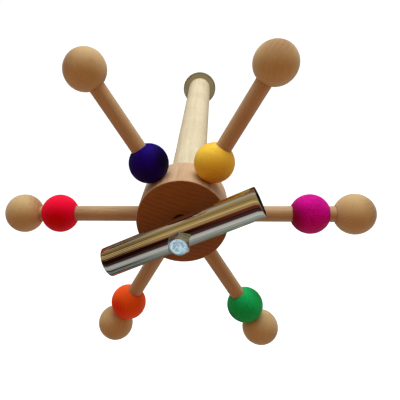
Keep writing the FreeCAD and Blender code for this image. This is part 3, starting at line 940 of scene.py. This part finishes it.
@dataclass
class Wheel:
    """The hub, its bushes, and the dowels and plain end balls that turn with it.

    Sizes are in millimetres.
    """

    spokes: int = 6
    hub_round: float = 1.1
    front_bore_ease: float = 0.5
    back_bore_ease: float = 0.4
    dowel_bevel: float = 0.7
    hole_gap: float = 0.05
    mouth_ease: float = 0.5
    mouth_sink: float = 0.6
    socket: float = 18.0

    def __post_init__(self) -> None:
        """Read the wheel's sizes and centre from the frame."""
        low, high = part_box("spoke_right")
        self.root, self.tip = low.x / MM, high.x / MM
        self.centre = Vector((0.0, (low.y + high.y) / 2.0, 0.0))
        self.hub_radius = size_of("hub")[0] / 2.0
        self.bush_radius = size_of("front_bush")[0] / 2.0
        self.dowel_radius = size_of("spoke_right")[1] / 2.0
        self.ball_radius = size_of("ball_right")[1] / 2.0
        self.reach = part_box("ball_right")[1].x / MM - self.ball_radius

    def place(self) -> Matrix:
        """Return the place of a mesh about Z whose Y is up and whose zero is the spoke plane."""
        return facing_front(self.centre.y)

    def build(self) -> None:
        """Build and show every piece of the wheel."""
        self.build_hub()
        self.build_dowels()
        self.build_balls()
        for node in ("front_bush", "back_bush"):
            paint_node(node, "bush_nylon")

    def build_hub(self) -> None:
        """Lathe the hub with its recess, and drill its spoke holes."""
        low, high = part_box("hub")
        back = -(high.y - self.centre.y) / MM
        front = (self.centre.y - low.y) / MM
        bore, surface = self.bush_radius + self.hole_gap, self.hub_radius
        corners = [(bore, back, self.back_bore_ease), (surface, back, self.hub_round),
                   (surface, front, self.hub_round), (bore, front, self.front_bore_ease)]
        profile = divided(rounded(corners, 6), 1.1)
        block = lathe("hub_block", profile, 240, lumps(3, 0.10, 24.0))
        gap = self.dowel_radius + self.hole_gap
        flare, top = gap + self.mouth_ease + self.mouth_sink, surface + 3.0
        neck = surface - self.mouth_ease - self.mouth_sink / 2.0
        hole = [(0.0, self.root), (gap, self.root), (gap, neck), (flare, surface + self.mouth_sink),
                (flare, top), (0.0, top)]
        cutter = lathe("spoke_hole_cutter", hole, 64)
        cutter.transform(Matrix.Rotation(math.radians(90.0), 4, "Y"))
        mesh = drilled("hub_drilling", block, cutter, self.spokes)
        stamp_grain(mesh, 5)
        place_mesh(mesh, self.place())
        present("hub_turned", mesh, "wheel", "beech_hub", ["hub"])

    def build_dowels(self) -> None:
        """Lathe one dowel and repeat it round the hub."""
        radius = self.dowel_radius
        length = self.tip - self.root
        corners = [(0.0, 0.0, 0.0), (radius, 0.0, self.dowel_bevel), (radius, length, self.dowel_bevel),
                   (0.0, length, 0.0)]
        dowel = lathe("dowel_blank", divided(rounded(corners, 4), 4.0), 64)
        stamp_grain(dowel, 17)
        mesh = ring_of("dowel_ring", dowel, self.spokes, self.root, 0.0, True, finish_of("dowel_wood"))
        place_mesh(mesh, self.place())
        present("spoke_dowels", mesh, "wheel", "dowel_wood", ["spoke_" + place for place in PLACES])

    def build_balls(self) -> None:
        """Turn one plain ball with its blind hole and repeat it on the dowels' ends."""
        profile = ball_profile(self.ball_radius, self.dowel_radius + self.hole_gap, self.mouth_ease,
                               self.socket - self.ball_radius)
        ball = lathe("ball_blank", profile, 112, lumps(8, 0.05, 9.0))
        stamp_grain(ball, 23, Euler((0.5, 0.3, 0.0)).to_matrix())
        mesh = ring_of("ball_ring", ball, self.spokes, self.reach, 0.0, True, finish_of("ball_wood"))
        place_mesh(mesh, self.place())
        present("end_balls", mesh, "wheel", "ball_wood", ["ball_" + place for place in PLACES])


@dataclass
class Beads:
    """The stained beads, each on its own body and its own spoke."""

    colours: tuple[str, ...] = ("magenta", "yellow", "blue", "red", "orange", "green")
    clearance: float = 0.08
    mouth_ease: float = 0.5

    def build(self, wheel: Wheel) -> None:
        """Turn each bead and set it where the frame has it.

        Args:
            wheel: the wheel whose dowels carry the beads.
        """
        radius = size_of("bead_magenta")[1] / 2.0
        profile = ball_profile(radius, wheel.dowel_radius + self.clearance, self.mouth_ease)
        for number, colour in enumerate(self.colours):
            angle = number * 360.0 / len(self.colours)
            middle = centre_of("bead_" + colour)
            distance = (middle - wheel.centre).length
            mesh = lathe("bead_blank", profile, 112, lumps(31 + number, 0.05, 9.0))
            tilt = Euler((0.35 + 0.4 * number, 0.6 * (number % 3), 0.5 * number)).to_matrix()
            stamp_grain(mesh, 41 + number, tilt)
            place_mesh(mesh, along_spoke(wheel.centre, angle, distance))
            present("turned_bead_" + colour, mesh, colour + "_bead", "stain_" + colour,
                    ["bead_" + colour])


@dataclass
class MirrorTube:
    """The thin plated tube across the front, with its cross holes for the sleeve."""

    outer: float = 11.0
    wall: float = 1.0
    slant: float = 24.6
    length: float = 119.0
    lip: float = 0.35
    hole_clearance: float = 0.06

    def build(self) -> None:
        """Lathe the tube, cut its cross holes for the sleeve and set it at its slant."""
        inner, half = self.outer - self.wall, self.length / 2.0
        corners = [(inner, -half, self.lip), (self.outer, -half, self.lip), (self.outer, half, self.lip),
                   (inner, half, self.lip)]
        tube = lathe("tube_blank", divided(rounded(corners, 4), 3.0), 160)
        hole, end = size_of("axle_sleeve")[0] / 2.0 + self.hole_clearance, 30.0
        drill = lathe("tube_drill", [(0.0, -end), (hole, -end), (hole, end), (0.0, end)], 96)
        drill.transform(Matrix.Rotation(math.radians(90.0), 4, "X"))
        mesh = carve("tube_cross_holes", tube, drill, "DIFFERENCE")
        stamp_grain_plain(mesh)
        place = Matrix.Translation(centre_of("mirror_tube"))
        place = place @ Matrix.Rotation(math.radians(90.0 - self.slant), 4, "Y")
        place_mesh(mesh, place)
        present("polished_tube", mesh, "tube", "mirror_chrome", ["mirror_tube"])


@dataclass
class Stand:
    """The pole, its far flange and fixings, and the axle's bolt, sleeve, spacer and washer."""

    pole_front_dia: float = 31.0
    pole_ease: float = 1.2
    pole_bore: float = 7.1
    pole_waver_from: float = 12.0
    insert_hole: float = 12.1
    insert_hole_depth: float = 20.0
    bolt_flats: float = 14.0
    bolt_face: float = 12.6
    bolt_head: float = 6.4
    bolt_shank: float = 8.0
    bolt_dish: float = 0.16
    flange_hole: float = 7.4
    flange_lip: float = 1.2
    flange_ease: float = 0.6
    stud_free_dia: float = 6.0
    thread_pitch: float = 1.0
    thread_depth: float = 0.5
    screws: int = 3
    screw_circle: float = 24.0
    screw_head: float = 8.0
    screw_cone: float = 2.2
    screw_gap: float = 0.2
    screw_shank: float = 4.0
    screw_length: float = 25.0
    screw_point: float = 3.0
    cross_reach: float = 2.4
    cross_depth: float = 1.7
    cross_share: float = 0.26

    def build(self) -> None:
        """Build and show every piece that stays still."""
        self.build_pole()
        self.build_bolt()
        self.build_flange()
        self.build_stud()
        self.build_screws()
        # The spacer's near-black finish is painted shade on a real part.
        for node, slot in (("axle_sleeve", "plain_steel"), ("spacer_ring", "spacer_nylon"),
                           ("back_washer", "zinc_steel"), ("threaded_insert", "insert_brass")):
            paint_node(node, slot)

    def build_pole(self) -> None:
        """Lathe the tapered pole with a slight waver along it."""
        width, length, _ = size_of("pole")
        bore, wide = self.pole_bore / 2.0, self.insert_hole / 2.0
        step = length - self.insert_hole_depth
        corners = [(bore, 0.0, 0.0), (width / 2.0, 0.0, 0.5),
                   (self.pole_front_dia / 2.0, length, self.pole_ease),
                   (wide, length, 0.0), (wide, step, 0.0), (bore, step, 0.0)]
        wave = lumps(4, 0.20, 38.0)
        mesh = lathe("pole_blank", divided(rounded(corners), 3.5), 128,
                     lambda place: wave(place) if place.xy.length > self.pole_waver_from else 0.0)
        stamp_grain(mesh, 3)
        place_mesh(mesh, facing_front(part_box("pole")[1].y))
        present("turned_pole", mesh, "stand", "pole_wood", ["pole"])

    def build_bolt(self) -> None:
        """Build the hex-head bolt: a hexagon cut by a turned crown, eased, with its shank."""
        head, face = self.bolt_head, self.bolt_face / 2.0
        corner = self.bolt_flats / math.sqrt(3.0)
        top, spare = head + 1.0, 3.0
        hexagon = lathe("bolt_hexagon", [(0.0, 0.0), (corner, 0.0), (corner, top), (0.0, top)], 6)
        hexagon.transform(Matrix.Rotation(math.radians(90.0), 4, "Z"))
        shoulder = head - spare * math.tan(math.radians(30.0))
        crown = lathe("bolt_crown", [
            (0.0, -1.0), (face + spare, -1.0), (face + spare, shoulder), (face, head - 0.06),
            (face - 0.25, head), (0.62 * face, head), (0.52 * face, head - 0.75 * self.bolt_dish),
            (0.0, head - self.bolt_dish)], 96)
        mesh = carve("bolt_head", hexagon, crown, "INTERSECT")
        shank, length = self.bolt_shank / 2.0, size_of("axle_bolt")[1] - head
        corners = [(0.0, -length, 0.0), (shank, -length, 0.6), (shank, 0.5, 0.0), (0.0, 0.5, 0.0)]
        mesh = carve("bolt_whole", mesh, lathe("bolt_shank", rounded(corners, 4), 64), "UNION")
        place_mesh(mesh, facing_front(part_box("axle_bolt")[0].y + head * MM))
        present("hex_bolt", mesh, "stand", "zinc_steel", ["axle_bolt"])

    def build_flange(self) -> None:
        """Lathe the far disc with its raised rim and drill its screw holes."""
        width, thick, _ = size_of("end_flange")
        radius, hole, ease = width / 2.0, self.flange_hole / 2.0, self.flange_ease
        plate, inner = thick - self.flange_lip, radius - self.flange_lip
        corners = [(hole, 0.0, 0.2), (radius, 0.0, ease), (radius, thick, 0.55), (inner, thick, 0.5),
                   (inner - 0.5, plate, ease), (hole, plate, 0.2)]
        disc = lathe("flange_blank", divided(rounded(corners, 5), 2.0), 144)
        mouth, neck = self.screw_head / 2.0 + self.screw_gap, self.screw_shank / 2.0 + self.screw_gap
        sink = lathe("countersink_tool", [(0.0, -1.0), (mouth + 0.9, -1.0), (mouth, 0.0),
                                          (neck, self.screw_cone), (neck, 5.0), (0.0, 5.0)], 48)
        stamp_grain_plain(sink)
        tools = self.round_flange("countersink_ring", sink, "flange_paint")
        mesh = carve("flange_drilling", disc, tools, "DIFFERENCE")
        place_mesh(mesh, facing_front(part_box("end_flange")[1].y))
        present("pressed_flange", mesh, "stand", "flange_paint", ["end_flange"])

    def round_flange(self, name: str, piece: bpy.types.Mesh, slot: str) -> bpy.types.Mesh:
        """Repeat a piece on the flange's screw circle, as one mesh of the slot's material."""
        return ring_of(name, piece, self.screws, self.screw_circle / 2.0, 90.0, False, finish_of(slot))

    def build_stud(self) -> None:
        """Lathe the stud and cut the thread of its free end."""
        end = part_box("hanger_stud")[1].y
        width, length, _ = size_of("hanger_stud")
        root, free, out = width / 2.0, self.stud_free_dia / 2.0, end / MM
        corners = [(0.0, 0.0, 0.0), (free, 0.0, 0.9), (free, out, 0.0), (root, out, 0.0),
                   (root, length, 0.3), (0.0, length, 0.0)]
        rod = lathe("stud_blank", divided(rounded(corners, 4), self.thread_pitch / 8.0), 48)
        mesh = threaded("stud_thread", rod, self.thread_pitch, self.thread_depth, 0.3, out - 0.4,
                        finish_of("zinc_steel"))
        place_mesh(mesh, facing_front(end))
        present("threaded_stud", mesh, "stand", "zinc_steel", ["hanger_stud"])

    def build_screws(self) -> None:
        """Turn one countersunk screw with its cross recess and repeat it round the flange."""
        head, shank = self.screw_head / 2.0, self.screw_shank / 2.0
        corners = [(0.0, 0.0, 0.0), (head, 0.0, 0.25), (shank, self.screw_cone, 0.3),
                   (shank, self.screw_length - self.screw_point, 0.0), (0.0, self.screw_length, 0.0)]
        screw = lathe("screw_blank", rounded(corners, 4), 64)
        cross = [(0.0, -0.5), (self.cross_reach, -0.5), (0.7, self.cross_depth), (0.0, self.cross_depth)]
        for turn in (0.0, 90.0):
            blade = lathe("recess_blade", cross, 4)
            blade.transform(Matrix.Rotation(math.radians(turn), 4, "Z")
                            @ Matrix.Diagonal((1.0, self.cross_share, 1.0, 1.0)))
            screw = carve("recess_cut", screw, blade, "DIFFERENCE")
        stamp_grain_plain(screw)
        mesh = self.round_flange("screw_ring", screw, "zinc_steel")
        place_mesh(mesh, facing_front(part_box("flange_screws")[1].y))
        present("countersunk_screws", mesh, "stand", "zinc_steel", ["flange_screws"])


# ---------------------------------------------------------------------------------------------------------
# Studio
# ---------------------------------------------------------------------------------------------------------


@dataclass
class Studio:
    """Pale floor, soft lights, surroundings for the polished metal, and the camera."""

    floor_drop: float = 0.85
    floor_half: float = 30.0
    lens: float = 39.1
    shift: float = 0.0875
    camera_offset: Triple = (0.0225, -0.2944, 0.1528)
    forward: Triple = (-0.1089, 0.8962, -0.43)
    rightward: Triple = (0.9941, 0.098, -0.0474)
    band_lean: float = 73.0
    band_waver: float = 16.0
    warm_band: RGB = rgb(112, 50, 38)
    shade_colour: RGB = (0.36, 0.155, 0.035)
    sky_colour: RGB = (0.74, 0.93, 0.98)
    ground_colour: RGB = (0.92, 1.02, 0.96)
    mirrored: tuple[tuple[float, RGB], ...] = (
        (-150.0, (70, 62, 54)), (-118.0, (110, 102, 90)), (-103.0, (122, 116, 104)),
        (-85.0, (136, 142, 132)), (-72.0, (150, 156, 148)), (-58.0, (174, 180, 174)),
        (-41.0, (200, 202, 194)), (-30.0, (188, 184, 178)), (-20.0, (150, 142, 138)),
        (-15.0, (66, 50, 46)), (-5.0, (70, 48, 44)), (10.0, (40, 14, 10)),
        (24.0, (26, 8, 4)), (29.0, (70, 34, 20)), (32.0, (146, 108, 72)),
        (48.0, (176, 146, 98)), (58.0, (206, 178, 116)), (66.0, (188, 160, 104)),
        (78.0, (132, 100, 52)), (86.0, (150, 128, 80)), (104.0, (170, 152, 116)),
        (120.0, (190, 178, 152)), (132.0, (120, 100, 76)), (150.0, (66, 44, 26)))

    def build(self, target: Vector) -> None:
        """Set the whole studio round the object.

        Args:
            target: the point that the lights face and the camera is placed from.
        """
        self.build_world()
        self.build_floor(target)
        self.build_camera(target)
        key = self.add_light("key", target, (0.12, 0.42, 1.15), 1.0, 14.0, (0.92, 1.0, 1.0))
        key.visible_glossy = False
        self.add_light("pole_light", target, (0.1, 0.12, 0.62), 0.3, 0.1, (1.0, 0.99, 0.94))
        card = self.add_light("bolt_card", target, (-0.055, -0.498, -0.215), 0.22, 0.12, (0.76, 1.0, 1.08))
        self.light_only(card, "hex_bolt")

    def build_world(self) -> None:
        """Show plain white behind the object, light it softly, and give polished metal bands to mirror."""
        world = bpy.data.worlds.new("studio")
        bpy.context.scene.world = world
        world.use_nodes = True
        graph = Graph(world.node_tree)
        ray = graph.add("ShaderNodeTexCoord").outputs["Generated"]
        from_back = graph.vector("DOT_PRODUCT", ray, (0.0, 0.62, 0.78))
        soft = graph.blend(graph.span(from_back, -0.20, 0.85), self.shade_colour, self.sky_colour)
        from_below = graph.vector("DOT_PRODUCT", ray, (0.0, 0.40, -0.92))
        soft = graph.blend(graph.span(from_below, 0.1, 0.95), soft, self.ground_colour)
        path = graph.add("ShaderNodeLightPath")
        seen = graph.blend(path.outputs["Is Glossy Ray"], soft, self.bands(graph, ray))
        seen = graph.blend(path.outputs["Is Camera Ray"], seen, (1.0, 1.0, 1.0))
        background = graph.add("ShaderNodeBackground", Color=seen)
        graph.add("ShaderNodeOutputWorld", Surface=background.outputs[0])

    def bands(self, graph: Graph, ray: Socket) -> Socket:
        """Return the surroundings that polished metal mirrors, in bands along the resting tube.

        Args:
            graph: the world's node tree.
            ray: the direction looked along.

        Returns:
            The colour of the surroundings.
        """
        slant = math.radians(MirrorTube.slant)
        along = graph.vector("DOT_PRODUCT", ray, (math.cos(slant), 0.0, math.sin(slant)))
        over = graph.vector("DOT_PRODUCT", ray, (-math.sin(slant), 0.0, math.cos(slant)))
        ahead = graph.vector("DOT_PRODUCT", ray, (0.0, -1.0, 0.0))
        angle = graph.math("MULTIPLY", graph.math("ARCTAN2", over, ahead), 180.0 / math.pi)
        angle = graph.math("MULTIPLY_ADD", graph.math("ADD", along, 0.26), self.band_lean, angle)
        streaks = graph.add("ShaderNodeCombineXYZ", X=graph.math("MULTIPLY", angle, 0.2),
                            Y=graph.math("MULTIPLY", along, 1.6))
        waver = graph.noise(streaks.outputs[0], 0.35, 2.0)
        angle = graph.math("MULTIPLY_ADD", graph.math("SUBTRACT", waver, 0.5), self.band_waver, angle)
        turn = graph.math("DIVIDE", graph.math("ADD", angle, 180.0), 360.0, clamp=True)
        colour = graph.ramp(turn, [((stop + 180.0) / 360.0, rgb(*tone)) for stop, tone in self.mirrored])
        warm = graph.math("MULTIPLY", graph.span(along, -0.26, -0.12, 0.0, 0.8),
                          graph.span(angle, 38.0, 26.0))
        warm = graph.math("MULTIPLY", warm, graph.span(angle, 8.0, 18.0))
        colour = graph.blend(warm, colour, self.warm_band)
        fine = graph.span(graph.noise(streaks.outputs[0], 0.5, 2.0), 0.35, 0.65, 0.66, 1.26)
        thin = graph.span(graph.noise(streaks.outputs[0], 0.9, 1.0), 0.49, 0.58, 0.0, 0.9)
        thin = graph.math("MULTIPLY", thin, graph.span(along, -0.42, -0.28, 1.0, 0.15))
        shine = graph.math("MULTIPLY", fine, graph.math("SUBTRACT", 1.0, thin))
        lit = graph.add("ShaderNodeVectorMath", {"operation": "SCALE"}, Scale=shine)
        graph.feed(lit.inputs[0], colour)
        return lit.outputs[0]

    def build_floor(self, target: Vector) -> None:
        """Lay a plain pale floor well below the object.

        Args:
            target: the point that it lies below.
        """
        half, level = self.floor_half, target.z - self.floor_drop
        corners = [(-half, -half, level), (half, -half, level), (half, half, level), (-half, half, level)]
        mesh = bpy.data.meshes.new("floor")
        mesh.from_pydata(corners, [], [(0, 1, 2, 3)])
        floor = bpy.data.objects.new("floor", mesh)
        bpy.context.scene.collection.objects.link(floor)
        shader = Shader("floor_paper")
        shader.set(Base_Color=(0.93, 0.93, 0.93), Roughness=0.9, Emission_Color=(1.0, 1.0, 1.0),
                   Emission_Strength=0.55)
        mesh.materials.append(shader.material)
        floor.visible_diffuse = False
        floor.visible_glossy = False

    def build_camera(self, target: Vector) -> None:
        """Aim the camera from the front, to the right and above.

        Args:
            target: the point that it is placed from.
        """
        data = bpy.data.cameras.new("camera")
        data.sensor_width = 36.0
        data.lens = self.lens
        data.shift_x = self.shift
        data.clip_start = 0.01
        camera = bpy.data.objects.new("camera", data)
        bpy.context.scene.collection.objects.link(camera)
        ahead = Vector(self.forward).normalized()
        right = Vector(self.rightward)
        right = (right - ahead * right.dot(ahead)).normalized()
        up = right.cross(ahead)
        turn = Matrix((right, up, -ahead)).transposed()
        camera.matrix_world = Matrix.Translation(target + Vector(self.camera_offset)) @ turn.to_4x4()
        bpy.context.scene.camera = camera

    def add_light(self, name: str, target: Vector, offset: Triple, size: float, power: float,
                  colour: RGB) -> bpy.types.Object:
        """Add a square soft light that faces the object.

        Args:
            name: the light's name.
            target: the point that it faces.
            offset: its place from that point, in metres.
            size: length of its side, in metres.
            power: in watts.
            colour: its colour.

        Returns:
            The light.
        """
        data = bpy.data.lights.new(name, "AREA")
        data.size = size
        data.energy = power
        data.color = colour
        light = bpy.data.objects.new(name, data)
        bpy.context.scene.collection.objects.link(light)
        light.location = target + Vector(offset)
        light.rotation_euler = (-Vector(offset)).to_track_quat("-Z", "Y").to_euler()
        return light

    def light_only(self, light: bpy.types.Object, piece: str) -> None:
        """Let a light reach one piece and nothing else.

        Args:
            light: the light.
            piece: the piece's name.
        """
        group = bpy.data.collections.new(light.name + "_receivers")
        group.objects.link(bpy.data.objects[piece])
        light.light_linking.receiver_collection = group


def main() -> None:
    """Build every sub-assembly in order, then the studio."""
    logging.basicConfig(level=logging.INFO)
    bpy.context.scene.view_settings.view_transform = "Standard"
    wheel = Wheel()
    wheel.build()
    Beads().build(wheel)
    MirrorTube().build()
    Stand().build()
    Studio().build(wheel.centre)


if __name__ == "__main__":
    main()
